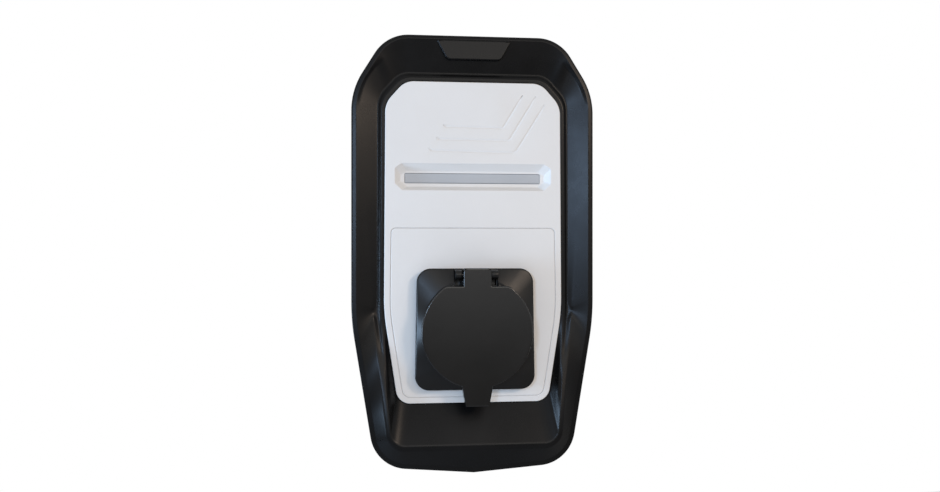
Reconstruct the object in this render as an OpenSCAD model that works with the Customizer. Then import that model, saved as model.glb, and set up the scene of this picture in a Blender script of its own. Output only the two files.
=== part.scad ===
// Wall-mounted EV charging unit with a lidded socket outlet.
// x runs to the right, +y runs into the wall, z is up; the wall plane is y = 0
// and the origin is the middle of the wall bolt pattern.
// Most shapes are drawn in a front view (x, up, distance from the wall) and stood up by face().

/* [Case] */
// distance from the wall to the front face of the panel
face_d = 105; // [98:1:115]
// how far the lower frame stands up in front of the panel
crest_h = 30; // [18:1:34]
// width of the flat rim round the outside of the frame
rim_w = 4.8; // [3.5:0.1:6]
// wall thickness of the rear housing
wall_t = 3; // [2.4:0.1:4]

/* [Wall mounting] */
// sideways distance between the wall bolts
bolt_dx = 150; // [130:1:160]
// height distance between the wall bolts
bolt_dz = 300; // [260:1:310]
// radius of the wall bolt holes
bolt_r = 3.25; // [2.7:0.05:3.6]

/* [Cable entries] */
// bore of the supply cable grommet
supply_r = 11; // [8:0.5:13]
// bore of the data cable grommet
data_r = 6; // [3:0.5:7.5]

/* [Panel] */
// depth of the light slot
slot_deep = 7; // [4:0.5:8]
// width of the engraved lines
line_w = 0.9; // [0.6:0.1:1.4]
// depth of the engraved lines
line_deep = 0.5; // [0.3:0.1:0.9]

/* [Socket] */
// height of the socket centre
sock_z = -75; // [-78:1:-72]
// radius of the opening in the socket frame
mouth_r = 34.5; // [34:0.1:35]
// radius of the round lid
lid_r = 54; // [50:0.5:56]
// thickness of the lid
lid_t = 8; // [6:0.5:9]
// radius of the lid hinge pin
pin_r = 1.5; // [1.2:0.1:1.8]

/* [Hidden] */
$fn = 72;
eps = 0.02;

// ---- outlines: corner lists [x, up, radius] from top middle to bottom middle, right half ----
rim_c = [[0, 214.4], [85.6, 214.4, 36], [120, 159.6, 70], [120, -64.5, 240],
  [95.8, -207.8, 32], [0, -214.9]];
crest_c = [[0, 200], [80, 200, 30], [113, 165, 60], [98.3, -57, 200], [87.5, -191, 18],
  [0, -191]];
band_c = [[0, 177.1], [72.4, 177.1, 20], [93.8, 153.4, 26], [94.5, -57, 200],
  [77.5, -182, 12], [0, -182]];
win_c = [[0, 169.7], [67.7, 169.7, 20], [87.4, 147.6, 24], [88.2, -57, 200],
  [74.3, -145.9, 14.6], [0, -145.9]];
lip_c = [for (i = 0, q = inset(rim_c, rim_w); i < 6; i = i + 1)
  i == 0 ? [0, q[0].y + 1.3] : i == 1 ? [q[1].x, q[1].y + 1.3, q[1].z] : q[i]];
back_top = inset(rim_c, 9.5);
back_c = [back_top[0], back_top[1], back_top[2], back_top[3], [87.4, -200, 24], [0, -200]];
win_in = inset(win_c, 6.4);
low_c = [[0, 25.5], [81.3, 25.5, 5], win_in[3], win_in[4], win_in[5]];
cap_c = [[0, 210.2], [37.6, 210.2, 1], [26.4, 190.6, 6], [0, 190.6]];

function unit(v) = v / norm(v);
function mix(a, b, t) = a + (b - a) * t;
function ease(t) = let (s = max(0, min(1, t))) s * s * (3 - 2 * s);
// arc of n steps at corner p between neighbours a and b
function fillet(a, p, b, n) = let (
    P = [p.x, p.y], u = unit([a.x, a.y] - P), v = unit([b.x, b.y] - P), half = acos(u * v) / 2,
    t = p.z / tan(half), c = P + unit(u + v) * p.z / sin(half), s = P + u * t,
    a0 = atan2(s.y - c.y, s.x - c.x), way = cross(u, v) > 0 ? -1 : 1)
  [for (i = [0:n]) c + p.z * [cos(a0 + way * (180 - 2 * half) * i / n),
    sin(a0 + way * (180 - 2 * half) * i / n)]];
function run(a, b, m) = m < 2 ? [] : [for (k = [1:m - 1]) mix(a, b, k / m)];
// right half of an outline: n steps in each corner, m[k] steps in straight k
function half_of(c, n, m) = let (
    k = len(c) - 2, f = [for (i = [1:k]) fillet(c[i - 1], c[i], c[i + 1], n)],
    a = [c[0].x, c[0].y], b = [c[k + 1].x, c[k + 1].y])
  concat([a], run(a, f[0][0], m[0]),
    [for (i = [0:k - 1]) each concat(f[i],
      i < k - 1 ? run(f[i][n], f[i + 1][0], m[i + 1]) : run(f[i][n], b, m[k]))], [b]);
function both(h) = concat(h, [for (i = [len(h) - 2:-1:1]) [-h[i].x, h[i].y]]);
function loop_of(c, n = 8, m = [1, 1, 1, 1, 1, 1]) = both(half_of(c, n, m));
// corner list moved in by k (out when negative)
function inset(c, k) = let (e = len(c) - 1) [for (i = [0:e])
    i == 0 ? [0, c[0].y - k] : i == e ? [0, c[e].y + k] :
    let (P = [c[i].x, c[i].y], u = unit([c[i - 1].x, c[i - 1].y] - P),
      v = unit([c[i + 1].x, c[i + 1].y] - P), q = P + unit(u + v) * k / sin(acos(u * v) / 2))
    [q.x, q.y, max(0.3, c[i].z - k)]];
function lift(l, d) = [for (p = l) [p.x, p.y, d]];
// rounded rectangle, centre (x, y)
function rr(x, y, w, h, r, n = 6) = concat(
  [for (q = [0:3]) each [for (i = [0:n]) let (a = 90 * q + 90 * i / n)
    [x + (q == 0 || q == 3 ? 1 : -1) * (w / 2 - r) + r * cos(a),
     y + (q < 2 ? 1 : -1) * (h / 2 - r) + r * sin(a)]]]);
// outline of a line of width w along a path
function strip(p, w) = let (k = len(p) - 1,
    nrm = [for (i = [0:k]) let (t = unit(p[min(k, i + 1)] - p[max(0, i - 1)])) [-t.y, t.x]])
  concat([for (i = [0:k]) p[i] + nrm[i] * w / 2], [for (i = [k:-1:0]) p[i] - nrm[i] * w / 2]);

module face() { rotate([90, 0, 0]) children(); }
module plate(l, d0, d1) { translate([0, 0, d0]) linear_extrude(d1 - d0) polygon(l); }
module rod(x, z, d0, d1, r) { translate([x, z, d0]) cylinder(h = d1 - d0, r = r); }
module bar(x, z0, z1, d, r) { translate([x, z1, d]) rotate([90, 0, 0]) cylinder(h = z1 - z0, r = r); }
module axle(x0, x1, z, d, r) { translate([x0, z, d]) rotate([0, 90, 0]) cylinder(h = x1 - x0, r = r); }
module block(x0, x1, z0, z1, d0, d1) { translate([x0, z0, d0]) cube([x1 - x0, z1 - z0, d1 - d0]); }
// closed ring of loops, and a capped stack of loops
module ring_loft(L) {
  m = len(L); n = len(L[0]);
  polyhedron([for (l = L) each l], [for (j = [0:m - 1], i = [0:n - 1])
    let (a = j * n + i, b = j * n + (i + 1) % n, e = (j + 1) % m * n)
    each [[a, b, e + (i + 1) % n], [a, e + (i + 1) % n, e + i]]], convexity = 8);
}
module loft(L) {
  m = len(L); n = len(L[0]);
  polyhedron([for (l = L) each l], concat([[for (i = [n - 1:-1:0]) i]],
    [[for (i = [0:n - 1]) (m - 1) * n + i]],
    [for (j = [0:m - 2], i = [0:n - 1]) let (a = j * n + i, b = j * n + (i + 1) % n)
      each [[a, b, b + n], [a, b + n, a + n]]]), convexity = 8);
}
// round wire of radius r along a path
module tube(p, r, n = 6) {
  k = len(p) - 1;
  t = [for (i = [0:k]) unit(p[min(k, i + 1)] - p[max(0, i - 1)])];
  s0 = unit(cross(t[0], abs(t[0].z) > 0.8 ? [1, 0, 0] : [0, 0, 1]));
  f = [for (i = 0, s = s0; i <= k; i = i + 1,
    s = i <= k ? unit(s - t[i] * (s * t[i])) : s) s];
  loft([for (i = [0:k]) [for (a = [0:n - 1]) let (w = cross(t[i], f[i]))
    p[i] + r * (f[i] * cos(-360 * a / n) + w * sin(-360 * a / n))]]);
}
// smooth wire path through four control points
function bez(a, b, c, d, n = 9) = [for (i = [0:n]) let (t = i / n, s = 1 - t)
  s * s * s * a + 3 * s * s * t * b + 3 * s * t * t * c + t * t * t * d];

// ---- frame of the case ----
ring_m = [2, 1, 3, 4, 3, 1];
function rl(c) = loop_of(c, 5, ring_m);
function rise(z) = ease((-35 - z) / 138);

module bezel_frame() {
  A = rim_c; b = rl(lip_c); low = rl(crest_c); dl = rl(band_c);
  D = [for (p = dl) [p.x, p.y, face_d + mix(-4, crest_h, rise(p.y))]];
  C = [for (i = [0:len(b) - 1]) let (p = low[i], u = norm(p - b[i]), v = norm(p - dl[i]))
    [p.x, p.y, mix(mix(face_d + 3, D[i].z, u / (u + v)), D[i].z - 1, ease((-50 - p.y) / 90))]];
  color("#202124") face() difference() {
    union() {
      ring_loft([lift(rl(inset(A, 5)), 72), lift(rl(inset(A, 2.5)), 90), lift(rl(A), 103),
        lift(rl(A), 106), lift(rl(inset(A, 1.2)), 107.6), lift(b, 108), C, D,
        lift(rl(win_c), 103.5), lift(rl(win_c), 101), lift(rl(inset(win_c, 8)), 101),
        lift(rl(inset(win_c, 8)), 98), lift(rl(inset(win_c, -3.2)), 98),
        [for (i = [0:len(C) - 1]) let (p = mix(D[i], C[i], 0.4)) [p.x, p.y, D[i].z - 3.5]],
        [for (i = [0:len(C) - 1]) let (p = mix(C[i], D[i], 0.3)) [p.x, p.y, C[i].z - 5.5]],
        lift(rl(inset(A, 8)), 101), lift(rl(inset(A, 8)), 72)]);
      rod(0, 199, 85, 104, 5);
    }
    rod(0, 199, 80, 120, 2.25);
    rod(0, 199, 101.8, 120, 4.5);
    for (s = [-1, 1]) block(s * 16 - 2.2, s * 16 + 2.2, 193.8, 197.2, 90, 110);
    for (s = [-1, 1]) { bar(s * 60, -215, -195, 78, 2.25); bar(s * 60, -220, -204, 78, 4.2); }
  }
}
module top_cap() {
  l = loop_of(cap_c, 6, [1, 1, 1, 1]); s = loop_of(inset(cap_c, 0.6), 6, [1, 1, 1, 1]);
  color("#2c2d30") face() {
    difference() {
      union() { plate(l, 98, 108.3); plate(s, 108, 108.9); }
      translate([-50, 0, 0]) rotate([90, 0, 90]) linear_extrude(100)
        polygon([[177.1, 90], [177.1, 101.2], [217.1, 109.484], [217.1, 90]]);
    }
    for (s = [-1, 1]) block(s * 16 - 1.8, s * 16 + 1.8, 194.2, 196.8, 95.5, 107);
  }
}
module top_screw() {
  color("#9a9da1") face() difference() {
    union() { rod(0, 199, 101.8 + eps, 103.8, 4.1); rod(0, 199, 58, 102, 2); }
    rod(0, 199, 102.8, 106, 1.5);
  }
}
module bottom_screws() {
  color("#9a9da1") face() for (s = [-1, 1]) difference() {
    union() { bar(s * 60, -206.4, -204.02, 78, 3.9); bar(s * 60, -204.2, -188, 78, 2); }
    bar(s * 60, -207, -205, 78, 1.5);
  }
}

// ---- rear housing ----
module rear_housing() {
  o = loop_of(back_c, 9); i = loop_of(inset(back_c, wall_t), 9);
  color("#2a2b2d") face() difference() {
    union() {
      difference() { plate(o, 0, 84); plate(i, wall_t, 90); }
      rod(0, 199, 1, 84, 4.6);
      for (s = [-1, 1]) {
        rod(s * 70, 95, 1, 12, 6);
        rod(s * bolt_dx / 2, bolt_dz / 2, 1, 6, 8);
        rod(s * bolt_dx / 2, -bolt_dz / 2, 1, 6, 8);
        block(s * 60 - 5, s * 60 + 5, -199, -188, 70, 83.5);
      }
      for (s = [-1, 1]) block(s * 45 - 1.5, s * 45 + 1.5, -197.5, -140, 1, 9);
      for (z = [-110, 45]) block(-100, 100, z - 1, z + 1, 1, 7);
      block(-27, -13, 12, 28, 1, 9);
    }
    for (s = [-1, 1]) {
      rod(s * bolt_dx / 2, bolt_dz / 2, -1, 8, bolt_r);
      rod(s * bolt_dx / 2, -bolt_dz / 2, -1, 8, bolt_r);
      rod(s * 70, 95, 4, 13, 2);
      bar(s * 60, -205, -187, 78, 2.05);
    }
    rod(0, 199, 50, 90, 2.05);
    bar(-40, -205, -190, 42, 16.3);
    bar(42, -205, -190, 42, 10.3);
  }
}
module housing_seal() {
  color("#1b1b1c") face() difference() {
    plate(loop_of(inset(rim_c, 8.4), 9), 79, 83);
    plate(loop_of(inset(back_c, -0.02), 9), 78, 84);
    for (s = [-1, 1]) bar(s * 60, -215, -190, 78, 3);
  }
}

// ---- panel and cover ----
slot_top = [[70.6, 89.4], [77.6, 85], [77.6, 69.6], [70.4, 63.3], [-70.4, 63.3], [-77.6, 69.6],
  [-77.6, 85], [-70.6, 89.4]];
slot_low = [[69.4, 82.6], [72.6, 80.6], [72.6, 69], [69.4, 66.5], [-69.4, 66.5], [-72.6, 69],
  [-72.6, 80.6], [-69.4, 82.6]];
function bend(a, b, c, r) = let (f = fillet(a, [b.x, b.y, r], c, 7)) concat([a], f, [c]);
module front_panel() {
  k = 2; dd = face_d;
  function grow(l, g) = [for (p = l) [p.x + sign(p.x) * g, p.y + (p.y > 75 ? g : -g)]];
  color("#d8dadb") face() difference() {
    union() {
      plate(loop_of(inset(win_c, 0.5)), dd - 3, dd);
      loft([lift(grow(slot_low, k), dd - slot_deep - 2), lift(grow(slot_low, k), dd - slot_deep),
        lift(grow(slot_top, k), dd - 1)]);
      for (s = [-1, 1]) {
        rod(s * 72, 74.8, 90, 97, 2);
        rod(s * 72, 74.8, 87.6, 91, 1.2);
        for (z = [135, 50, 10, -30]) {
          block(min(s * 76, s * 78.8), max(s * 76, s * 78.8), z - 6, z + 6, 94.5, dd - 2);
          block(min(s * 78, s * 81.8), max(s * 78, s * 81.8), z - 6, z + 6, 94.5, 97.8);
        }
      }
      for (s = [-1, 1]) {
        block(s * 45 - 8, s * 45 + 8, 157.6, 160.2, 94.5, dd - 2);
        block(s * 45 - 8, s * 45 + 8, 159, 163.6, 94.5, 97.8);
      }
    }
    loft([lift(slot_low, dd - slot_deep), lift(slot_top, dd + eps)]);
    block(-67.7, 67.7, 69.7, 79.8, 90, 100);
    plate(loop_of(inset(low_c, -0.4)), dd - 1.6, dd + 5);
    plate(loop_of(inset(low_c, 4)), dd - 9, dd + 5);
    for (q = [[[-29.9, 125.6], [31.1, 124.9], [51, 157.7], 3.5],
        [[-35.2, 114], [34.9, 113], [63.6, 156.4], 6],
        [[-42.5, 103.2], [41.9, 101.7], [71.5, 148], 8]])
      plate(strip(concat([q[0] + [-3.4, 1.5], q[0] + [-1.7, 0.4]], bend(q[0], q[1], q[2], q[3])),
        line_w), dd - line_deep, dd + 1);
  }
}
module panel_seal() {
  color("#1b1b1c") face() difference() {
    plate(loop_of(inset(win_c, 0.9)), 101 + eps, face_d - 3 - eps);
    plate(loop_of(inset(win_c, 6)), 100, face_d);
  }
}
module lower_cover() {
  color("#d8dadb") face() difference() {
    union() {
      plate(loop_of(low_c), face_d - 1.6 + eps, face_d);
      plate(loop_of(inset(low_c, 4.4)), face_d - 4, face_d - 1.5);
      for (x = [-50, 50], z = [15, -129]) rod(x, z, 92, face_d - 3, 3);
    }
    rod(0, sock_z, 90, 120, 36.5);
    for (x = [-30, 30], z = [-30, 30]) rod(x, sock_z + z, 90, 120, 2.75);
  }
}
module light_lens() {
  color("#bfc8cf") face() {
    block(-67.5, 67.5, 69.9, 79.6, 95.5, 97.6);
    block(-69.6, 69.6, 67.2, 82.3, 92.6, 96 - eps);
  }
}
module led_board() {
  color("#2f6b45") face() difference() {
    union() {
      block(-74, 74, 66.8, 82.8, 88.4, 90);
      for (i = [-7:7]) block(i * 9 - 1.4, i * 9 + 1.4, 73.4, 76.2, 89.9, 91);
      block(52, 62, 68.5, 73, 84, 88.5);
    }
    for (s = [-1, 1]) rod(s * 72, 74.8, 86, 92, 1.25);
  }
}

// ---- socket frame, gasket and lid ----
hz = -20;
hd = face_d + 20.5;
sq_c = [[0, -13.2], [57.5, -13.2, 14], [59, -132.1, 14], [0, -132.1]];
function sq(k, n = 9) = loop_of(inset(sq_c, k), n, [5, 3, 5]);
function rad(k, r) = [for (p = sq(k)) [0, sock_z] + r * unit(p - [0, sock_z])];
module socket_frame() {
  d = face_d;
  color("#1d1d1f") face() difference() {
    union() {
      difference() {
        union() {
          ring_loft([lift(sq(0), d + 1), lift(sq(0), d + 8.6), lift(sq(0.8), d + 9.4),
            lift(rad(0.8, 52.2), d + 17), lift(rad(0.8, 51.5), d + 17.6),
            lift(rad(0.8, 50.6), d + 20), lift(rad(3, mouth_r + 1), d + 20),
            lift(rad(3, mouth_r + 1), d + 16), lift(rad(3, 46), d + 15.2),
            lift(sq(3), d + 7), lift(sq(3), d + 1)]);
          rod(0, sock_z, d + 1, d + 19.9, mouth_r + 2.5);
          for (x = [-30, 30], z = [-30, 30]) rod(x, sock_z + z, d + 1, d + 17, 6.4);
          block(-26, 26, -36, -15, d + 3, d + 11.5);
        }
        rod(0, sock_z, d - 1, d + 30, mouth_r);
        for (x = [-30, 30], z = [-30, 30]) {
          rod(x, sock_z + z, d - 1, d + 30, 2.75);
          rod(x, sock_z + z, d + 16, d + 30, 4.8);
        }
        block(-22.8, 22.8, -31.5, -10, d + 11.2, d + 30);
      }
      for (s = [-1, 1]) {
        block(s * 18.05 - 4.25, s * 18.05 + 4.25, -24.5, -14.9, d + 9, d + 20);
        axle(s * 18.05 - 4.25, s * 18.05 + 4.25, hz + 0.3, hd - 0.5, 4.8);
      }
    }
    axle(-22.6, 22.6, hz, hd, pin_r + 0.02);
  }
}
module socket_gasket() {
  color("#161617") face() difference() {
    plate(sq(1.5), face_d + eps, face_d + 1 - eps);
    rod(0, sock_z, face_d - 1, face_d + 2, 37);
    for (x = [-30, 30], z = [-30, 30]) rod(x, sock_z + z, face_d - 1, face_d + 2, 3.2);
  }
}
module socket_lid() {
  d = face_d + 21; t = lid_t;
  color("#232426") face() difference() {
    union() {
      difference() {
        union() {
          translate([0, sock_z, d]) rotate_extrude()
            polygon([[0, 0], [lid_r - 0.8, 0], [lid_r, 0.8], [lid_r, t - 1.5],
              [lid_r - 1.5, t], [0, t]]);
          plate([[-14.65, -125], [14.65, -125], [12.65, -146.3], [-12.65, -146.3]], d, d + 7);
          block(-11.6, 11.6, -146, -143.6, d + 6, d + t);
        }
        block(-60, 60, -30.8, 0, d - 1, d + 20);
      }
      translate([-13.1, 0, 0]) rotate([90, 0, 90]) linear_extrude(26.2)
        polygon([[-40, d], [-40, d + t], [-20.5, d + t], [-17.6, d + t - 0.8],
          [-15.2, d + t - 2.7], [-13.8, d + t - 5], [-13.5, d], [-18, d - 3], [-25, d - 3],
          [-27, d]]);
      axle(-13.1, 13.1, hz, hd, 6.5);
    }
    axle(-14, 14, hz, hd, pin_r + 0.05);
    axle(-5.5, 5.5, hz, hd, 4.4);
    difference() {
      rod(0, sock_z, d - 1, d + 2.2, 38.2);
      rod(0, sock_z, d - 2, d + 3, 34.6);
    }
    rod(0, sock_z, d - 1, d + 3.5, 32);
  }
}
module lid_seal() {
  color("#141415") face() difference() {
    rod(0, sock_z, face_d + 20.1, face_d + 23.18, 38);
    rod(0, sock_z, face_d + 19, face_d + 24, 34.8);
  }
}
module lid_pin() {
  color("#b9bcc0") face() difference() {
    axle(-22, 22, hz, hd, pin_r);
    rod(-4.6, hz, hd - 3, hd + 3, 0.5);
  }
}
module lid_spring() {
  turns = 6; n = turns * 14;
  color("#8e9196") face() tube(concat([[-4.6, hz, hd], [-4.6, hz, hd + 1.6], [-4.6, hz, hd + 2.5]],
    [for (i = [1:n]) [-4.6 + 9.2 * i / n, hz + 3 * sin(360 * turns * i / n),
      hd + 3 * cos(360 * turns * i / n)]]), 0.42);
}

// ---- socket outlet behind the lid ----
pins = [[0, 1, 3.4], [-16.5, 1, 3.4], [16.5, 1, 3.4], [8.5, -13, 3.4], [-8.5, -13, 3.4],
  [-8, 14.5, 2.4], [8, 14.5, 2.4]];
module dee(r, flat, d0, d1) {
  difference() {
    rod(0, sock_z, d0, d1, r);
    block(-50, 50, sock_z + flat, sock_z + 60, d0 - 1, d1 + 1);
  }
}
module socket_body() {
  color("#18181a") face() difference() {
    union() {
      rod(0, sock_z, 45, face_d + 14, 34);
      plate(rr(0, sock_z, 76, 76, 6), 97, face_d - 4 - eps);
    }
    dee(31.4, 24.5, 60, face_d + 20);
    rod(0, sock_z, 44, 61, 28.4);
    for (x = [-30, 30], z = [-30, 30]) rod(x, sock_z + z, 90, 110, 2.1);
    bar(0, sock_z + 20, sock_z + 40, 88, 3.4);
  }
}
module socket_insert() {
  color("#222225") face() difference() {
    union() {
      rod(0, sock_z, 46, 59.9, 28);
      dee(26.6, 18.6, 59, face_d + 7);
    }
    for (p = pins) rod(p.x, sock_z + p.y, 40, face_d + 10, p.z);
    bar(0, sock_z + 15, sock_z + 22, 88, 3.4);
  }
}
module contact_sleeves() {
  color("#c9a25a") face() for (p = pins) difference() {
    union() { rod(p.x, sock_z + p.y, 38, face_d + 1, p.z - 0.1); }
    rod(p.x, sock_z + p.y, 52, face_d + 2, p.z - 0.8);
  }
}
module socket_screws() {
  color("#a5a8ac") face() for (x = [-30, 30], z = [-30, 30]) difference() {
    union() {
      rod(x, sock_z + z, face_d + 16 + eps, face_d + 19, 4.4);
      rod(x, sock_z + z, 95, face_d + 16.1, 2);
    }
    rod(x, sock_z + z, face_d + 17.2, face_d + 20, 1.6);
  }
}
module lock_actuator() {
  color("#3a3d42") face() difference() {
    union() {
      block(-20, 20, -40.6, -16, 72, 96);
      rod(15, -20, 95, 98.5, 2.5);
      rod(-15, -20, 95, 98.5, 2.5);
      block(9, 18, -17, -12, 78, 88);
    }
    bar(0, -41, -26, 88, 3.4);
    block(-12, 12, -34, -22, 71, 73);
  }
}
module lock_pin() {
  color("#b9bcc0") face() { bar(0, -51, -30, 88, 3); }
}

// ---- inside the housing ----
module din_rail() {
  color("#b4b8bd") face() difference() {
    union() {
      block(-85, 85, 82, 108, 12 + eps, 13);
      for (s = [-1, 1]) {
        block(-85, 85, min(95 + s * 12.5, 95 + s * 13.5), max(95 + s * 12.5, 95 + s * 13.5), 12.02, 19.5);
        block(-85, 85, min(95 + s * 12.5, 95 + s * 17.5), max(95 + s * 12.5, 95 + s * 17.5), 18.5, 19.5);
      }
    }
    for (s = [-1, 1]) rod(s * 70, 95, 10, 15, 2.3);
  }
}
module rail_screws() {
  color("#9a9da1") face() for (s = [-1, 1]) {
    rod(s * 70, 95, 13 + eps, 16, 4);
    rod(s * 70, 95, 5, 13.1, 1.95);
  }
}
module contactor() {
  color("#3c3f44") face() difference() {
    union() {
      block(-44, 1, 52, 138, 20, 62);
      block(-44, 1, 68, 122, 61, 78);
    }
    block(-45, 2, 77, 113, 19, 20.5);
    for (x = [-38, -27, -16, -5]) for (z = [60, 130]) rod(x, z, 56, 63, 2.8);
    for (x = [-38, -27, -16, -5]) { bar(x, 51, 58, 35, 2); bar(x, 132, 139, 35, 2); }
  }
}
module charge_controller() {
  color("#2d4a3a") face() difference() {
    union() {
      block(5, 77, 50, 140, 20, 70);
      block(12, 70, 60, 130, 69, 80);
      for (x = [18, 46]) block(x, x + 16, 46, 52, 50, 62);
    }
    block(4, 78, 77, 113, 19, 20.5);
    for (i = [0:5]) block(20 + i * 7, 23 + i * 7, 75, 115, 79, 81);
  }
}
module fault_sensor() {
  color("#35383c") face() difference() {
    union() { bar(-20, 13, 27, 26, 16); block(-27, -13, 13, 27, 9 + eps, 16); }
    bar(-20, 10, 30, 26, 10.5);
  }
}
module terminal_blocks() {
  color("#8f9296") face() for (i = [0:4]) difference() {
    union() {
      block(-83 + i * 7.2, -76.2 + i * 7.2, 73, 117, 20, 48);
      block(-83 + i * 7.2, -76.2 + i * 7.2, 82, 108, 47, 62);
    }
    block(-84 + i * 7.2, -75 + i * 7.2, 77, 113, 19, 20.5);
    for (z = [77.5, 112.5]) rod(-79.6 + i * 7.2, z, 44, 49, 2.2);
    for (z = [72, 111]) bar(-79.6 + i * 7.2, z, z + 7, 35, 2);
  }
}
module grommet(x, hole, bore, top) {
  difference() {
    union() {
      bar(x, -205, -200.02, 42, top);
      bar(x, -203, -194, 42, hole - 0.3);
      bar(x, -196.98, -194, 42, hole + 1.6);
    }
    bar(x, -210, -190, 42, bore);
  }
}
module supply_grommet() { color("#1b1b1c") face() grommet(-40, 16.3, supply_r, 19.5); }
module data_grommet() { color("#1b1b1c") face() grommet(42, 10.3, data_r, 13); }
module power_wires() {
  color("#6b3a2a") face() {
    for (q = [[-38, -27.2, -16.5, -74], [-27, -22.4, -8.5, -88], [-16, -17.6, 8.5, -88],
        [-5, -12.8, 16.5, -74]])
      tube(concat([[q[0], 57, 35]], bez([q[0], 51.5, 35], [q[0], 43, 35], [q[1], 38, 26], [q[1], 28, 26], 6),
        bez([q[1], 12, 26], [q[1], -8, 26], [q[2], -24, 22], [q[2], -40, 22], 6),
        bez([q[2], q[3] + 16, 22], [q[2], q[3] + 6, 22], [q[2], q[3], 25], [q[2], q[3], 37.6], 6)),
        1.7);
    for (i = [0:3]) let (xt = -79.6 + i * 7.2, xc = -5 - 11 * i, h = 172 - 8 * i)
      tube(concat([[xt, 113, 35]], bez([xt, 118, 35], [xt, h + 12, 35], [xc, h + 12, 35],
        [xc, 139, 35], 12), [[xc, 134, 35]]), 1.5);
    tube(concat([[-50.8, 77, 35]], bez([-50.8, 71, 35], [-50.8, 55, 35], [-52, 45, 16], [-52, 20, 16], 6),
      bez([-52, 0, 16], [-52, -30, 15], [0, -30, 15], [0, -55, 15], 8),
      bez([0, -62, 15], [0, -72, 15], [0, -74, 20], [0, -74, 37.6], 6)), 1.7);
  }
}
module signal_wires() {
  color("#7d8288") face() {
    for (s = [-1, 1]) tube(concat(
      bez([s * 8, -60.5, 37.6], [s * 8, -60.5, 31], [s * 8, -56, 31], [s * 8, -44, 31], 5),
      bez([s * 8, -36, 31], [s * 8, 0, 31], [32 + s * 4, 0, 56], [26 + s * 4, 45.9, 56], 8)), 0.8);
    for (s = [-1, 1]) tube(bez([13.5 + s * 2, -11.9, 83], [13.5 + s * 2, 10, 83],
      [54 + s * 3, 20, 56], [54 + s * 3, 45.9, 56], 8), 0.8);
    for (s = [-1, 1]) tube([[57 + s * 2, 71, 83.95], [57 + s * 2, 71, 82], [57 + s * 2, 71, 80.02]], 0.8);
  }
}

rear_housing();
bezel_frame();
front_panel();
lower_cover();
light_lens();
led_board();
top_cap();
top_screw();
bottom_screws();
housing_seal();
panel_seal();
socket_frame();
socket_gasket();
socket_lid();
lid_seal();
lid_pin();
lid_spring();
socket_body();
socket_insert();
contact_sleeves();
socket_screws();
lock_actuator();
lock_pin();
din_rail();
rail_screws();
contactor();
charge_controller();
fault_sensor();
terminal_blocks();
supply_grommet();
data_grommet();
power_wires();
signal_wires();
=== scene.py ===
import bpy, bmesh
from math import sin, cos, tan, pi, radians, acos, atan2, sqrt, hypot
from mathutils import Matrix, Vector


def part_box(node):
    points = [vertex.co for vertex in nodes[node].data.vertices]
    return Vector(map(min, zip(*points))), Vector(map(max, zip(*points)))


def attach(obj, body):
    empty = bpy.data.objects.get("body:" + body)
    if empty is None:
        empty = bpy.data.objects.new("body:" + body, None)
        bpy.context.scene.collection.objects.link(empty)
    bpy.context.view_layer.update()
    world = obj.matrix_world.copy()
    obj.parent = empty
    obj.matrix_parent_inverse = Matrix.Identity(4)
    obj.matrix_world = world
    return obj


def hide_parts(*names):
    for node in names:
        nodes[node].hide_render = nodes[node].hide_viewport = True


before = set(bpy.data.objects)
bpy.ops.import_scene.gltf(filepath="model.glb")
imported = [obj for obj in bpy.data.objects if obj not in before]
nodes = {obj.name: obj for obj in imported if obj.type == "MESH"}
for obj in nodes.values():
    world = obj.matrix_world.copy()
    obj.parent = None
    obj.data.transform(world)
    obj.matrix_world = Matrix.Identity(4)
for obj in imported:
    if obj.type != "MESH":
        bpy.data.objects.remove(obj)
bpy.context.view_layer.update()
scene = bpy.context.scene
MM = 0.001

# ---------------------------------------------------------------- where things are
panel_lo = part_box("front_panel")[0]
rim_lo, rim_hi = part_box("bezel_frame")
sock_lo, sock_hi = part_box("socket_body")
lid_lo, lid_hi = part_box("socket_lid")
pin_lo, pin_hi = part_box("lid_pin")
FACE = -panel_lo.y / MM                     # distance of the panel's face from the wall
SOCK_Z = (sock_lo.z + sock_hi.z) / 2 / MM   # height of the socket centre
HINGE_Z = (pin_lo.z + pin_hi.z) / 2 / MM
HINGE_D = -(pin_lo.y + pin_hi.y) / 2 / MM
LID_FRONT = -lid_lo.y / MM
EYE = Vector((0.0, panel_lo.y, 0.007))

# ---------------------------------------------------------------- camera
cam_data = bpy.data.cameras.new("camera")
cam = bpy.data.objects.new("camera", cam_data)
scene.collection.objects.link(cam)
yaw = radians(8.0)              # the camera stands this far to the left of the middle
reach = 1.05                    # and this far from the panel, in metres
tilt, turn = radians(0.05), radians(0.197)
cam.location = EYE + Vector((-sin(yaw), -cos(yaw), 0.0)) * reach
cam.rotation_euler = (pi / 2 + tilt, 0.0, turn - yaw)
cam_data.sensor_width = 36.0
cam_data.lens = 40.8
cam_data.clip_start = 0.01
scene.camera = cam


# ---------------------------------------------------------------- outlines (mm, front view)
def P2(x, y):
    return Vector((x, y))


def fillet(a, p, b, n, r=None):
    """The arc of n steps that rounds corner p, between a and b, by r or p's third number."""
    P = P2(p[0], p[1])
    r = p[2] if r is None else r
    if r <= 0:
        return [P.copy()]
    u = (P2(a[0], a[1]) - P).normalized()
    v = (P2(b[0], b[1]) - P).normalized()
    half = acos(max(-1, min(1, u.dot(v)))) / 2
    t = r / tan(half)
    c = P + (u + v).normalized() * (r / sin(half))
    s = P + u * t
    a0 = atan2(s.y - c.y, s.x - c.x)
    way = -1 if u.x * v.y - u.y * v.x > 0 else 1
    sweep = way * (pi - 2 * half)
    return [c + P2(cos(a0 + sweep * i / n), sin(a0 + sweep * i / n)) * r for i in range(n + 1)]


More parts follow.
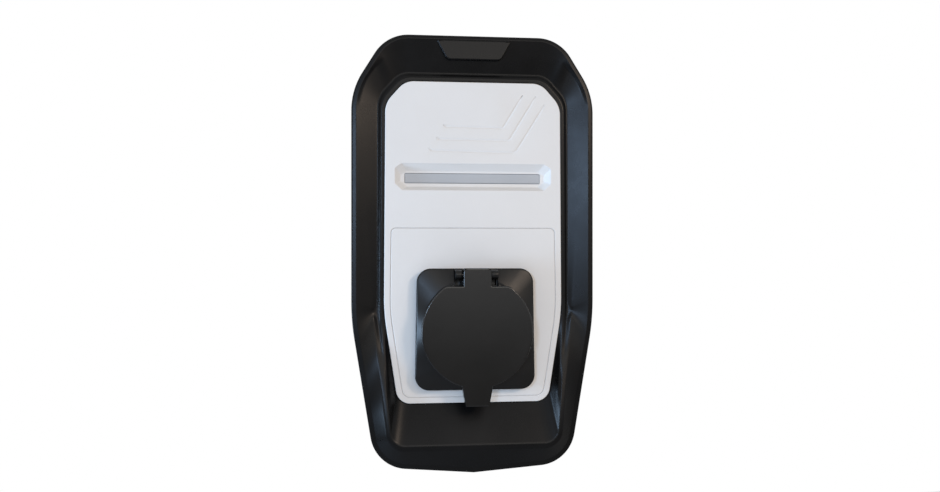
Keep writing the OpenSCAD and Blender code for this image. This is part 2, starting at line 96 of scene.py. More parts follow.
def split(a, b, m):
    """The m - 1 points that part the line from a to b into m steps."""
    return [a.lerp(b, k / m) for k in range(1, m)]


def half_of(c, n, m):
    """The right half of an outline: corners c as arcs of n steps, sides in m steps each."""
    k = len(c) - 2
    f = [fillet(c[i - 1], c[i], c[i + 1], n) for i in range(1, k + 1)]
    out = [P2(c[0][0], c[0][1])]
    out += split(out[0], f[0][0], m[0])
    for i in range(k):
        out += f[i]
        end = f[i + 1][0] if i < k - 1 else P2(c[-1][0], c[-1][1])
        out += split(f[i][-1], end, m[i + 1])
    out.append(P2(c[-1][0], c[-1][1]))
    return out


def both(h):
    """A right half and its mirror image, as one closed outline."""
    return h + [P2(-p.x, p.y) for p in h[-2:0:-1]]


def inset(c, k):
    """The corners of a right half moved inwards by k, their radii with them."""
    out = []
    e = len(c) - 1
    for i, p in enumerate(c):
        if i == 0:
            out.append((0, p[1] - k))
        elif i == e:
            out.append((0, p[1] + k))
        else:
            P = P2(p[0], p[1])
            u = (P2(c[i - 1][0], c[i - 1][1]) - P).normalized()
            v = (P2(c[i + 1][0], c[i + 1][1]) - P).normalized()
            q = P + (u + v).normalized() * (k / sin(acos(u.dot(v)) / 2))
            out.append((q.x, q.y, max(0.3, p[2] - k)))
    return out


def outline(c, n=20, m=None):
    return both(half_of(c, n, m or [4] * (len(c) - 1)))


def area(l):
    return sum(a.x * b.y - b.x * a.y for a, b in zip(l, l[1:] + l[:1])) / 2


def offset(l, k):
    """Moves a closed outline inwards by k (out when negative)."""
    s = 1 if area(l) > 0 else -1
    n = len(l)
    out = []
    for i in range(n):
        e1 = l[i] - l[i - 1]
        e2 = l[(i + 1) % n] - l[i]
        n1 = P2(-e1.y, e1.x).normalized() * s
        n2 = P2(-e2.y, e2.x).normalized() * s
        m = (n1 + n2).normalized()
        out.append(l[i] + m * (k / max(0.35, m.dot(n1))))
    return out


def ease(t):
    """0 to 1 with a soft start and end."""
    t = max(0.0, min(1.0, t))
    return t * t * (3 - 2 * t)


def mix(a, b, t):
    return a + (b - a) * t


def at(p, d):
    """Point p of the front view at distance d from the wall, in metres."""
    return Vector((p.x * MM, -d * MM, p.y * MM))


# ---------------------------------------------------------------- mesh building
def piece(bm, name, body, mat, stands, sharp=None):
    """Turns a bmesh into a smooth object that rides with a body and stands for CAD nodes."""
    me = bpy.data.meshes.new(name)
    bm.to_mesh(me)
    bm.free()
    me.polygons.foreach_set("use_smooth", [True] * len(me.polygons))
    if sharp:
        me.set_sharp_from_angle(angle=radians(sharp))
    ob = bpy.data.objects.new(name, me)
    scene.collection.objects.link(ob)
    me.materials.append(mat)
    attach(ob, body)
    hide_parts(*stands)
    return ob


def make(name, verts, faces, mat, stands, merge=1e-6):
    """A piece of the wallbox body from vertices and faces."""
    me = bpy.data.meshes.new("rings")
    me.from_pydata([tuple(v) for v in verts], [], faces)
    bm = bmesh.new()
    bm.from_mesh(me)
    bpy.data.meshes.remove(me)
    bmesh.ops.remove_doubles(bm, verts=bm.verts, dist=merge)
    bmesh.ops.dissolve_degenerate(bm, edges=bm.edges, dist=1e-7)
    bmesh.ops.recalc_face_normals(bm, faces=bm.faces)
    return piece(bm, name, "wallbox", mat, stands)


def round_profile(rings, k=4):
    """rings: (loop of 3-D points, setback in mm) pairs. Rounds each corner of the closed profile."""
    m = len(rings)
    n = len(rings[0][0])
    cols = []
    for i in range(n):
        pts = [r[0][i] for r in rings]
        col = []
        for j in range(m):
            r = rings[j][1] * MM
            if r <= 0:
                col.append(pts[j])
                continue
            a, p, b = pts[j - 1], pts[j], pts[(j + 1) % m]
            la, lb = (a - p).length, (b - p).length
            if la < 1e-9 or lb < 1e-9:
                col += [p] * (k + 3)
                continue
            ta, tb = min(r, 0.42 * la), min(r, 0.42 * lb)
            ua, ub = (a - p) / la, (b - p) / lb
            A, B = p + ua * ta, p + ub * tb
            col.append(p + ua * min(ta * 1.6, 0.48 * la))
            for q in range(k + 1):
                t = q / k
                col.append(A * (1 - t) ** 2 + p * 2 * t * (1 - t) + B * t ** 2)
            col.append(p + ub * min(tb * 1.6, 0.48 * lb))
        cols.append(col)
    return [[cols[i][j] for i in range(n)] for j in range(len(cols[0]))]


def loft_faces(m, n):
    """Faces between m rings of n points, round and back to the first."""
    f = []
    for j in range(m):
        a, b = j * n, ((j + 1) % m) * n
        for i in range(n):
            i2 = (i + 1) % n
            f.append((a + i, a + i2, b + i2, b + i))
    return f


class Plate:
    """A flat sheet with a rounded rim and features, drawn in the front view."""

    def __init__(self):
        self.bm = bmesh.new()

    def loop(self, pts, d):
        return [self.bm.verts.new(at(p, d if not callable(d) else d(p))) for p in pts]

    def skin(self, a, b):
        n = len(a)
        for i in range(n):
            i2 = (i + 1) % n
            self.bm.faces.new((a[i], a[i2], b[i2], b[i]))

    def edge_ring(self, base, prof):
        """prof: (inset, distance) pairs. Returns first and last vertex loops."""
        prev = first = None
        for k, d in prof:
            cur = self.loop(offset(base, k) if abs(k) > 1e-9 else base, d)
            if prev:
                self.skin(prev, cur)
            else:
                first = cur
            prev = cur
        return first, prev

    def fill(self, *loops):
        edges = []
        for l in loops:
            for i in range(len(l)):
                a, b = l[i], l[(i + 1) % len(l)]
                e = self.bm.edges.get((a, b)) or self.bm.edges.new((a, b))
                edges.append(e)
        bmesh.ops.triangle_fill(self.bm, use_beauty=True, use_dissolve=False, edges=edges,
                                normal=(0, -1, 0))

    def object(self, name, body, slot, mat, stands, sharp=None):
        bmesh.ops.remove_doubles(self.bm, verts=self.bm.verts, dist=1e-7)
        bmesh.ops.recalc_face_normals(self.bm, faces=self.bm.faces)
        front = [f for f in self.bm.faces if abs(f.normal.y) > 0.999]
        low = min(front, key=lambda f: f.calc_center_median().y)
        if low.normal.y > 0:
            bmesh.ops.reverse_faces(self.bm, faces=self.bm.faces)
        return piece(self.bm, name, body, mat, stands, sharp)


def quarter(r, d, k):
    """The k points of a rounding of radius r up to distance d, as (inset, distance) pairs."""
    turns = [pi / 2 * i / k for i in range(1, k + 1)]
    return [(r * (1 - cos(t)), d - r * (1 - sin(t))) for t in turns]


def rim_out(d_back, d, r, k=5, flat=0.4):
    """Profile of an outer edge: back wall, rounding, then a flat support ring."""
    return [(0, d_back), (0, d - r - 0.3), (0, d - r)] + quarter(r, d, k) + [(r + flat, d)]


def rim_in(d, r, tail, k=5, flat=0.4):
    """Profile of a hole's edge from the face down: flat ring, rounding, then tail."""
    down = [(-x, y) for x, y in reversed(quarter(r, d, k))]
    return [(-(r + flat), d)] + down + [(0, d - r), (0, d - r - 0.3)] + tail


# ---------------------------------------------------------------- materials
def moulded(name, col, col2, rough, rough_var=0.08, grain=0.00045, bump=0.12, spec=0.5,
            cloud=0.05, wear=0.0, wear_col=None, metal=0.0, stretch=None):
    """A grained material: colour and roughness drift between two values, edges can be worn."""
    m = bpy.data.materials.new(name)
    m.use_nodes = True
    nt = m.node_tree
    N, L = nt.nodes, nt.links
    bs = N["Principled BSDF"]
    bs.inputs["Specular IOR Level"].default_value = spec
    bs.inputs["Metallic"].default_value = metal
    tc = N.new("ShaderNodeTexCoord")
    src = tc.outputs["Object"]
    if stretch:
        mp = N.new("ShaderNodeMapping")
        mp.inputs["Scale"].default_value = stretch
        L.new(src, mp.inputs["Vector"])
        src = mp.outputs["Vector"]
    big = N.new("ShaderNodeTexNoise")
    big.inputs["Scale"].default_value = 1 / cloud
    big.inputs["Detail"].default_value = 5
    big.inputs["Roughness"].default_value = 0.6
    L.new(tc.outputs["Object"], big.inputs["Vector"])
    ramp = N.new("ShaderNodeValToRGB")
    ramp.color_ramp.elements[0].position = 0.32
    ramp.color_ramp.elements[0].color = col
    ramp.color_ramp.elements[1].position = 0.72
    ramp.color_ramp.elements[1].color = col2
    L.new(big.outputs["Fac"], ramp.inputs["Fac"])
    colour = ramp.outputs["Color"]
    fine = N.new("ShaderNodeTexNoise")
    fine.inputs["Scale"].default_value = 1 / grain
    fine.inputs["Detail"].default_value = 3
    fine.inputs["Roughness"].default_value = 0.55
    L.new(src, fine.inputs["Vector"])
    vor = N.new("ShaderNodeTexVoronoi")
    vor.inputs["Scale"].default_value = 0.6 / grain
    L.new(src, vor.inputs["Vector"])
    if wear > 0:
        geo = N.new("ShaderNodeNewGeometry")
        mr = N.new("ShaderNodeMapRange")
        mr.inputs["From Min"].default_value = 0.515
        mr.inputs["From Max"].default_value = 0.60
        mr.inputs["To Max"].default_value = wear
        L.new(geo.outputs["Pointiness"], mr.inputs["Value"])
        wn = N.new("ShaderNodeTexNoise")
        wn.inputs["Scale"].default_value = 140
        wn.inputs["Detail"].default_value = 6
        L.new(tc.outputs["Object"], wn.inputs["Vector"])
        mu = N.new("ShaderNodeMath")
        mu.operation = "MULTIPLY"
        L.new(mr.outputs["Result"], mu.inputs[0])
        L.new(wn.outputs["Fac"], mu.inputs[1])
        mx = N.new("ShaderNodeMix")
        mx.data_type = "RGBA"
        L.new(mu.outputs["Value"], mx.inputs["Factor"])
        L.new(colour, mx.inputs["A"])
        mx.inputs["B"].default_value = wear_col
        colour = mx.outputs["Result"]
    L.new(colour, bs.inputs["Base Color"])
    rr = N.new("ShaderNodeMapRange")
    rr.inputs["From Min"].default_value = 0.3
    rr.inputs["From Max"].default_value = 0.7
    rr.inputs["To Min"].default_value = rough - rough_var
    rr.inputs["To Max"].default_value = rough + rough_var
    L.new(big.outputs["Fac"], rr.inputs["Value"])
    L.new(rr.outputs["Result"], bs.inputs["Roughness"])
    add = N.new("ShaderNodeMath")
    add.operation = "MULTIPLY_ADD"
    add.inputs[1].default_value = 0.6
    L.new(vor.outputs["Distance"], add.inputs[0])
    L.new(fine.outputs["Fac"], add.inputs[2])
    bp = N.new("ShaderNodeBump")
    bp.inputs["Strength"].default_value = bump
    bp.inputs["Distance"].default_value = grain * 0.25
    L.new(add.outputs["Value"], bp.inputs["Height"])
    L.new(bp.outputs["Normal"], bs.inputs["Normal"])
    return m


M = {
    "frame": moulded("frame_black", (0.0028, 0.0028, 0.0030, 1), (0.0046, 0.0045, 0.0047, 1),
                     0.28, 0.03, bump=0.08, spec=0.13, wear=0.04, wear_col=(0.04, 0.04, 0.042, 1)),
    "case": moulded("case_black", (0.007, 0.007, 0.0075, 1), (0.012, 0.012, 0.0125, 1),
                    0.55, 0.07, grain=0.0007, bump=0.3, spec=0.22, wear=0.08,
                    wear_col=(0.05, 0.05, 0.05, 1)),
    "panel": moulded("panel_grey", (0.70, 0.693, 0.68, 1), (0.735, 0.727, 0.713, 1),
                     0.52, 0.06, grain=0.0005, bump=0.08, spec=0.35, cloud=0.09),
    "socket": moulded("socket_black", (0.0040, 0.0039, 0.0039, 1), (0.0070, 0.0068, 0.0067, 1),
                      0.34, 0.04, grain=0.0004, bump=0.12, spec=0.22, wear=0.05,
                      wear_col=(0.05, 0.05, 0.052, 1)),
    "lid": moulded("lid_black", (0.0015, 0.0015, 0.0016, 1), (0.0026, 0.0025, 0.0026, 1),
                   0.17, 0.02, grain=0.0004, bump=0.05, spec=0.42, wear=0.06,
                   wear_col=(0.05, 0.05, 0.052, 1)),
    "insert": moulded("insert_black", (0.008, 0.008, 0.0085, 1), (0.014, 0.014, 0.0145, 1),
                      0.5, 0.06, bump=0.15, spec=0.25),
    "rubber": moulded("seal_rubber", (0.010, 0.010, 0.010, 1), (0.018, 0.017, 0.016, 1),
                      0.75, 0.08, grain=0.0003, bump=0.2, spec=0.25),
    "lens": moulded("lens_frosted", (0.345, 0.37, 0.40, 1), (0.385, 0.405, 0.43, 1),
                    0.34, 0.04, grain=0.0012, bump=0.03, spec=0.5, stretch=(1.0, 1.0, 0.02)),
    "steel": moulded("zinc_steel", (0.50, 0.51, 0.53, 1), (0.60, 0.61, 0.62, 1),
                     0.32, 0.08, grain=0.0003, bump=0.1, metal=1.0, cloud=0.01),
    "brass": moulded("silver_brass", (0.62, 0.52, 0.33, 1), (0.72, 0.62, 0.42, 1),
                     0.28, 0.06, grain=0.0003, bump=0.06, metal=1.0, cloud=0.01),
    "board": moulded("board_green", (0.02, 0.10, 0.05, 1), (0.03, 0.14, 0.07, 1),
                     0.4, 0.05, grain=0.0004, bump=0.1),
    "device": moulded("device_grey", (0.10, 0.105, 0.11, 1), (0.14, 0.145, 0.15, 1),
                      0.55, 0.06, grain=0.0005, bump=0.2),
    "wire": moulded("wire_cover", (0.05, 0.028, 0.02, 1), (0.09, 0.05, 0.035, 1),
                    0.45, 0.08, grain=0.0006, bump=0.1),
}
# each material and the CAD nodes that wear it
WEARERS = {
    "case": "rear_housing socket_body",
    "frame": "bezel_frame top_cap",
    "panel": "front_panel lower_cover",
    "socket": "socket_frame",
    "lid": "socket_lid",
    "insert": "socket_insert",
    "lens": "light_lens",
    "rubber": "housing_seal panel_seal socket_gasket lid_seal supply_grommet data_grommet",
    "steel": "top_screw bottom_screws lid_pin lid_spring socket_screws lock_pin din_rail rail_screws",
    "brass": "contact_sleeves",
    "board": "led_board charge_controller",
    "device": "lock_actuator contactor fault_sensor terminal_blocks",
    "wire": "power_wires signal_wires",
}
cad_mat = {node: key for key, worn in WEARERS.items() for node in worn.split()}
# CAD nodes that show as they are get their edges softened by this much (mm)
SOFT_EDGE = {
    "rear_housing": 1.6, "supply_grommet": 0.8, "data_grommet": 0.8, "socket_body": 0.5,
    "socket_insert": 0.5, "lid_seal": 0.4, "housing_seal": 0.3, "contactor": 0.6,
    "charge_controller": 0.6, "terminal_blocks": 0.4, "lock_actuator": 0.6, "lid_pin": 0.2,
    "socket_screws": 0.3, "contact_sleeves": 0.25,
}
for name, ob in nodes.items():
    ob.data.materials.clear()
    ob.data.materials.append(M[cad_mat[name]])
    if name in SOFT_EDGE:
        w = ob.modifiers.new("weld", "WELD")
        w.merge_threshold = 1e-6
        b = ob.modifiers.new("edges", "BEVEL")
        b.width = SOFT_EDGE[name] * MM
        b.segments = 3
        b.limit_method = "ANGLE"
        b.angle_limit = radians(40)
        b.use_clamp_overlap = True
        b.harden_normals = True

# ---------------------------------------------------------------- frame of the case
# right halves, from the top round to the bottom: corner x, height, radius
SIDE, TOP, FOOT = rim_hi.x / MM, rim_hi.z / MM, rim_lo.z / MM
RIM = [(0, TOP), (85.6, TOP, 39.2), (SIDE, 159.6, 70), (SIDE, -64.5, 240),
       (SIDE - 23.4, FOOT + 7.5, 37.2), (0, FOOT)]
CREST = [(0, 200), (80, 200, 30), (113, 165, 60), (98.8, -57, 200), (84.6, -190, 18), (0, -190)]
BAND = [(0, 177.1), (72.4, 177.1, 20), (93.8, 153.4, 26), (94.7, -57, 200), (81.2, -185.7, 14),
        (0, -185.7)]
WIN = [(0, 169.7), (67.7, 169.7, 20), (87.4, 147.6, 24), (88.7, -57, 200), (75, -146.7, 14.6),
       (0, -146.7)]
CREST_H = min(14.5, -rim_lo.y / MM - FACE)      # how far the crest stands over the panel at the foot
runs = [8, 3, 26, 26, 16, 12]
LIP = [(q[0], q[1] + 1.3) + tuple(q[2:]) if i < 2 else q for i, q in enumerate(inset(RIM, 4.8))]


def rl(c):
    return outline(c, 18, runs)


def rise(z):
    """0 above the socket to 1 at the foot, where the surround stands up round the cover."""
    return ease((-40 - z) / 146)


def bezel():
    rim, crest, band, win = rl(LIP), rl(CREST), rl(BAND), rl(WIN)
    crest_ring, band_ring, wall_ring, sill_ring = [], [], [], []
    for p in band:
        band_ring.append(at(p, FACE + mix(-4, CREST_H, rise(p.y))))
    for p, q, o in zip(crest, rim, band_ring):
        u, v = (p - q).length, hypot(p.x - o.x / MM, p.y - o.z / MM)
        top = -o.y / MM
        flank = mix(FACE + 3, top, u / (u + v))
        crest_ring.append(at(p, mix(flank, top - 0.6, ease((-80 - p.y) / 74))))
    for p, q in zip(band, win):
        w = p.lerp(q, 0.42)
        steep = 1 - ease(((p - q).length - 10) / 12)
        foot = mix(-1.5, 0.6, rise(q.y) * steep)
        h = mix(mix(-4, CREST_H, rise(p.y)), foot, 0.42)
        wall_ring.append(at(w, FACE + h + mix(1.7, 0.5 * steep, rise(w.y))))
        sill_ring.append(at(q, FACE + foot))
    under_crest = [p.lerp(q, 0.3) + Vector((0, 0.0055, 0)) for p, q in zip(crest_ring, band_ring)]
    under_band = [p.lerp(q, 0.4) + Vector((0, 0.0035, 0)) for p, q in zip(band_ring, crest_ring)]

    def flat(c, d):
        return [at(p, d) for p in c]

    def rim_at(k, d):
        return flat(rl(inset(RIM, k)), d)

    def win_at(k, d):
        return flat(rl(inset(WIN, k)), d)
    # from the back round the outside, over the front, through the window and under the shell
    rings = [(rim_at(8, 72), 0.5), (rim_at(5, 72), 0.8), (rim_at(2.5, 90), 5), (rim_at(0, 103), 3),
             (flat(rl(RIM), FACE + 2.3), 1.5), (flat(rim, FACE + 3), 0.5),
             (crest_ring, 1.4), (band_ring, 1.6), (wall_ring, 2.2), (sill_ring, 0.5),
             (flat(win, FACE - 4), 0), (win_at(8, FACE - 4), 0), (win_at(8, FACE - 7), 0),
             (win_at(-3.2, FACE - 7), 0), (under_band, 0), (under_crest, 0), (rim_at(8, 101), 0)]
    shell = round_profile(rings, 5)
    return make("bezel_shell", [v for r in shell for v in r], loft_faces(len(shell), len(shell[0])),
                M["frame"], ["bezel_frame"])


bezel()

# ---------------------------------------------------------------- cap at the top of the frame
CAP = [(0, 210.0), (37.4, 210.0, 1.2), (26.6, 190.7, 6), (0, 190.7)]


def top_cap():
    pl = Plate()
    base = outline(CAP, 10, [6, 6, 6])
    d = FACE + 3.9

    def seat(p):
        """The slope of the surround that the cap sits on."""
        return 101.0 + 7 * (p.y - 177.1) / 33.8
    first, last = pl.edge_ring(base, [(0, seat), (0, d - 1.2)] + quarter(1.2, d, 5) + [(1.6, d)])
    pl.fill(last)
    pl.fill(first)
    pl.object("cap_cover", "wallbox", "frame_black", M["frame"], ["top_cap"], sharp=50)


top_cap()

# ---------------------------------------------------------------- panel
LOW = [(0, 25.5), (81.3, 25.5, 5)] + inset(WIN, 6.4)[3:]


def rounded(pts, r, n=6):
    """Closed outline with every corner rounded by r."""
    out = []
    for i, p in enumerate(pts):
        out += fillet(pts[i - 1], p, pts[(i + 1) % len(pts)], n, r)
    return out


def strip(path, w):
    """Closed outline of a line along a path, with its width at each point in w."""
    k = len(path) - 1
    t = [(path[min(k, i + 1)] - path[max(0, i - 1)]).normalized() for i in range(k + 1)]
    side = [P2(-v.y, v.x) * b / 2 for v, b in zip(t, w)]
    left = [p + q for p, q in zip(path, side)]
    right = [p - q for p, q in zip(path, side)]
    return left + right[::-1]


def poly_path(pts, n=10, step=6.0):
    """A path through corners that are rounded by their third number, in steps of about step."""
    out = [P2(pts[0][0], pts[0][1])]
    for i in range(1, len(pts) - 1):
        f = fillet(pts[i - 1], pts[i], pts[i + 1], n)
        m = max(1, int((f[0] - out[-1]).length / step))
        out += split(out[-1], f[0], m) + f
    e = P2(pts[-1][0], pts[-1][1])
    m = max(1, int((e - out[-1]).length / step))
    return out + split(out[-1], e, m) + [e]


SLOT_HALF = [(70.6, 88.2), (76.7, 84), (76.7, 69.6), (70.0, 63.3)]
SLOT = SLOT_HALF + [(-x, z) for x, z in reversed(SLOT_HALF)]
LINES = [[(-30.2, 127.2), (-28.0, 125.3, 2.2), (29.0, 124.4, 3.5), (49.0, 157.2)],
         [(-37.0, 114.9), (-34.6, 112.8, 2.2), (35.2, 112.1, 6), (62.4, 156.6)],
         [(-44.4, 103.9), (-42.0, 101.6, 2.6), (41.3, 100.0, 8), (71.4, 148.2)]]


def resample(l, step):
    """A closed outline with its long sides parted into steps of about step."""
    out = []
    for i in range(len(l)):
        a, b = l[i], l[(i + 1) % len(l)]
        m = max(1, int((b - a).length / step))
        out.append(a)
        out += split(a, b, m)
    return out


def oblong(x, z0, z1):
    return [(x, z1), (x, z0), (-x, z0), (-x, z1)]


def front_panel():
    pl = Plate()
    outer = outline(inset(WIN, 0.45), 18, [6, 3, 14, 8, 8, 8])
    _, cap = pl.edge_ring(outer, rim_out(FACE - 3, FACE, 0.7))
    hole = outline(inset(LOW, -0.22), 14, [8, 14, 8, 8])
    first, last = pl.edge_ring(hole, rim_in(FACE, 0.5, [(0, FACE - 1.0), (0.26, FACE - 1.0)]))
    loops = [cap, first]
    # light slot: rounded rim, sloping walls, flat floor
    slot = resample(rounded(SLOT, 1.6, 5), 8)
    middle = 76

    def wall(t):
        """The slot's outline at share t of the way down its sloping walls."""
        out = []
        for p in slot:
            side = 1 if p.x > 0 else -1
            run = 6.8 if p.y > middle else -3.2
            x = p.x - side * min(1.0, abs(p.x) / 60) * 5.0 * t
            z = p.y - run * t * (1 if abs(p.y - middle) > 9 else abs(p.y - middle) / 9)
            out.append(P2(x, z))
        return out
    D = FACE - 7
    brim = ((1.5, 0), (1.1, 0), (0.7, 0.12), (0.35, 0.42), (0.12, 0.85))
    prof = [(offset(slot, -k), FACE - deep) for k, deep in brim]
    prof += [(wall(0.07), FACE - 1.3), (wall(0.45), FACE - 3.6), (wall(0.86), D + 0.75),
             (wall(0.94), D + 0.3), (wall(1.03), D + 0.05), (wall(1.1), D)]
    prev = None
    for l, d in prof:
        cur = pl.loop(l, d)
        if prev:
            pl.skin(prev, cur)
        else:
            loops.append(cur)
        prev = cur
    win = resample(rounded(oblong(67.7, 69.7, 79.8), 0.8, 4), 8)
    wf, wl = pl.edge_ring(win, rim_in(D, 0.25, [(0, D - 2)], k=3, flat=0.15))
    pl.fill(prev, wf)
    # engraved lines: soft shallow channels
    for pts in LINES:
        path = poly_path(pts)
        n = len(path)
        fade = [min(1.0, i / 5, (n - 1 - i) / 2) for i in range(n)]
        drop = fade + fade[::-1]
        sides = []
        for half, deep in ((1.6, 0), (1.25, 0.04), (0.9, 0.16), (0.5, 0.36), (0.15, 0.44)):
            base = strip(path, [2 * half * (0.6 + 0.4 * f) for f in fade])
            sides.append([pl.bm.verts.new(at(q, FACE - deep * f)) for q, f in zip(base, drop)])
        for u, v in zip(sides, sides[1:]):
            pl.skin(u, v)
        f, m = sides[-1], len(sides[-1])
        for i in range(m // 2 - 1):
            pl.bm.faces.new((f[i], f[i + 1], f[m - 2 - i], f[m - 1 - i]))
        loops.append(sides[0])
    pl.fill(*loops)
    pl.object("panel_cover", "wallbox", "panel_grey", M["panel"], ["front_panel"])


front_panel()


def disc(x, z, r, n):
    return [P2(x + r * cos(2 * pi * i / n), z + r * sin(2 * pi * i / n)) for i in range(n)]


def lower_cover():
    pl = Plate()
    edge = outline(inset(LOW, 0.08), 14, [8, 14, 8, 8])
    _, cap = pl.edge_ring(edge, rim_out(FACE - 2.4, FACE, 0.9))
    first, _ = pl.edge_ring(disc(0, SOCK_Z, 36.5, 96), rim_in(FACE, 0.4, [(0, FACE - 3)]))
    pl.fill(cap, first)
    pl.object("socket_cover", "wallbox", "panel_grey", M["panel"], ["lower_cover"])


lower_cover()

# ---------------------------------------------------------------- light lens
def lens():
    pl = Plate()
    d = -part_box("light_lens")[0].y / MM
    bar = resample(rounded(oblong(67.4, 70.15, 79.5), 0.7, 4), 6)
    _, cap = pl.edge_ring(bar, rim_out(d - 4, d, 0.4, 4, 0.15))
    pl.fill(cap)
    back = resample(rounded(oblong(69.5, 67.3, 82.2), 0.6, 3), 6)
    _, flange = pl.edge_ring(back, [(0, d - 4.9), (0, d - 1.75), (0.3, d - 1.65)])
    pl.fill(flange)
    pl.object("lens_bar", "wallbox", "lens_frosted", M["lens"], ["light_lens"])


lens()

# ---------------------------------------------------------------- socket frame
SQ = [(0, -13.8), (57.3, -13.8, 14), (59.2, -132.4, 14), (0, -132.4)]
C0 = P2(0, SOCK_Z)


def sq(k, n=22):
    return outline(inset(SQ, k), n, [22, 20, 22])


def rad(l, r):
    """The points of l drawn in to a circle of radius r round the socket's centre."""
    return [C0 + (p - C0).normalized() * r for p in l]


def box_cutter(x0, x1, z0, z1, d0, d1, bevel=0.0):
    me = bpy.data.meshes.new("cut")
    bm = bmesh.new()
    bmesh.ops.create_cube(bm, size=1.0)
    for v in bm.verts:
        x, d, z = v.co.x + 0.5, 0.5 - v.co.y, v.co.z + 0.5
        v.co = at(P2(mix(x0, x1, x), mix(z0, z1, z)), mix(d0, d1, d))
    if bevel:
        bmesh.ops.bevel(bm, geom=bm.edges[:], offset=bevel * MM, segments=3, affect="EDGES", profile=0.5)
    bmesh.ops.recalc_face_normals(bm, faces=bm.faces)
    bm.to_mesh(me)
    bm.free()
    return me


def rod_cutter(x, z, d0, d1, r, n=48):
    me = bpy.data.meshes.new("cut")
    bm = bmesh.new()
    rings = [[bm.verts.new(at(p, d)) for p in disc(x, z, r, n)] for d in (d0, d1)]
    for i in range(n):
        bm.faces.new((rings[0][i], rings[0][(i + 1) % n], rings[1][(i + 1) % n], rings[1][i]))
    bm.faces.new(rings[0])
    bm.faces.new(rings[1])
    bmesh.ops.recalc_face_normals(bm, faces=bm.faces)
    bm.to_mesh(me)
    bm.free()
    return me


def cut_out(ob, meshes):
    """Cuts closed meshes out of an object, one after another."""
    for me in meshes:
        tool = bpy.data.objects.new("tool", me)
        scene.collection.objects.link(tool)
        md = ob.modifiers.new("b", "BOOLEAN")
        md.operation = "DIFFERENCE"
        md.solver = "EXACT"
        md.object = tool
        dg = bpy.context.evaluated_depsgraph_get()
        new = bpy.data.meshes.new_from_object(ob.evaluated_get(dg))
        ob.modifiers.remove(md)
        old = ob.data
        ob.data = new
        bpy.data.meshes.remove(old)
        bpy.data.objects.remove(tool)


EAR_X, EAR_W = 17.5, 6.9        # middle and width of each hinge ear


def hinge_ear(s):
    """The ear on side s, a plate with a round head about the hinge pin."""
    d = FACE
    turns = [radians(180 - 15 * i) for i in range(13)]
    prof = [(-24.5, d + 9.5), (-24.5, d + 20.5)]
    prof += [(HINGE_Z + 0.2 + 4.6 * cos(t), HINGE_D - 0.3 + 4.6 * sin(t)) for t in turns]
    prof += [(-15.3, d + 20), (-15.15, d + 9.5)]
    bm = bmesh.new()
    la, lb = [[bm.verts.new(at(P2(s * EAR_X + x, z), q)) for z, q in prof]
              for x in (-EAR_W / 2, EAR_W / 2)]
    n = len(prof)
    for i in range(n):
        bm.faces.new((la[i], la[(i + 1) % n], lb[(i + 1) % n], lb[i]))
    bm.faces.new(la)
    bm.faces.new(lb)
    bmesh.ops.recalc_face_normals(bm, faces=bm.faces)
    sharp = [e for e in bm.edges if e.calc_face_angle(0) > radians(50)]
    bmesh.ops.bevel(bm, geom=sharp, offset=0.45 * MM, segments=3, affect="EDGES", profile=0.5)
    piece(bm, "hinge_ear_" + ("left" if s < 0 else "right"), "wallbox", M["socket"],
          ["socket_frame"], 35)


def socket_frame():
    d = FACE
    a, ai = sq(0), sq(0.9)
    rings = [([at(p, d + 1) for p in ai], 0.4), ([at(p, d + 12.4) for p in a], 1.5),
             ([at(p, d + 17.8) for p in rad(ai, 52.0)], 1.2),
             ([at(p, d + 20) for p in rad(ai, 50.6)], 0.7),
             ([at(p, d + 20) for p in rad(ai, 34.5)], 0.6), ([at(p, d + 1) for p in rad(ai, 34.5)], 0)]
    L = round_profile(rings, 5)
    ob = make("socket_surround", [v for r in L for v in r], loft_faces(len(L), len(L[0])),
              M["socket"], ["socket_frame"], merge=1e-7)
    cuts = [box_cutter(-21.6, 21.6, -31.5, -5, d + 11.2, d + 40, 0.35)]     # room for the hinge
    for x in (-30, 30):
        for z in (-30, 30):                                                 # screw heads and shanks
            cuts.append(rod_cutter(x, SOCK_Z + z, d + 16, d + 40, 4.8))
            cuts.append(rod_cutter(x, SOCK_Z + z, d - 3, d + 18, 2.75))
    for s in (-1, 1):                                                       # pockets under the ears
        cuts.append(box_cutter(s * 17.6 - 3.2, s * 17.6 + 3.2, -30.4, -24.5, d + 5, d + 13, 0.3))
    cut_out(ob, cuts)
    ob.data.polygons.foreach_set("use_smooth", [True] * len(ob.data.polygons))
    ob.data.set_sharp_from_angle(angle=radians(38))
    for s in (-1, 1):
        hinge_ear(s)


socket_frame()

# ---------------------------------------------------------------- lid
ARM = 13.5          # half the width of the lid's arm
BARREL_R = 6.4      # radius of the barrels behind the arm
PIN_END = 20.6      # half the length of the hinge pin


def pin():
    bm = bmesh.new()
    r = (pin_hi.z - pin_lo.z) / 2
    bmesh.ops.create_cone(bm, cap_ends=True, segments=32, radius1=r, radius2=r, depth=2 * PIN_END * MM)
    bmesh.ops.rotate(bm, verts=bm.verts, matrix=Matrix.Rotation(pi / 2, 3, "Y"))
    bmesh.ops.translate(bm, verts=bm.verts, vec=at(P2(0, HINGE_Z), HINGE_D))
    piece(bm, "hinge_pin", "wallbox", M["steel"], ["lid_pin"], 40)


pin()


